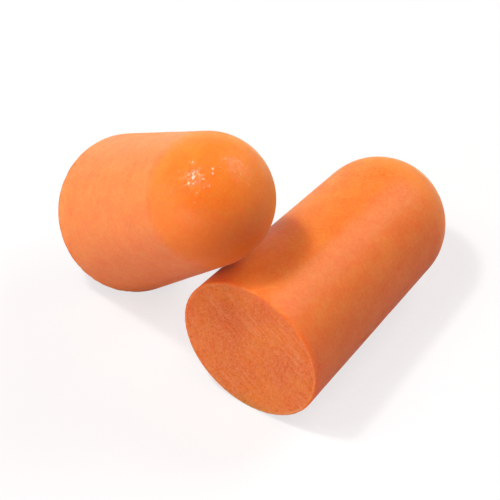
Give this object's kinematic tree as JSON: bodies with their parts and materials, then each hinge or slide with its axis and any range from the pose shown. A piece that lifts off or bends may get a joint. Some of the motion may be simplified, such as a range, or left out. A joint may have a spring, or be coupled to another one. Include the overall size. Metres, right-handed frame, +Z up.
{
  "type": "foam ear plugs",
  "caption": "Uncorded foam ear plugs that block noise: each tapers from a flat cut end to a round nose. A plug lies on its side and another leans on it.",
  "frame": {"origin": "middle of the plugs' footprint, on the surface that they rest on", "axes": "+Z up; +X to the right and +Y away, with the lying plug's cut end at the front left and its nose at the back right"},
  "size_m": [0.0328, 0.0268, 0.0239],
  "materials": {
    "orange_foam": "matte moulded skin with a faint sheen; fine open cells on the cut end"
  },
  "bodies": {
    "lying_plug": {"lying_plug": "orange_foam"},
    "leaning_plug": {"leaning_plug": "orange_foam"}
  },
  "joints": [
    {"name": "lift_off", "type": "slide", "parent": "lying_plug", "child": "leaning_plug", "axis": [0, 0, 1], "range_m": [0, 0.03]}
  ]
}
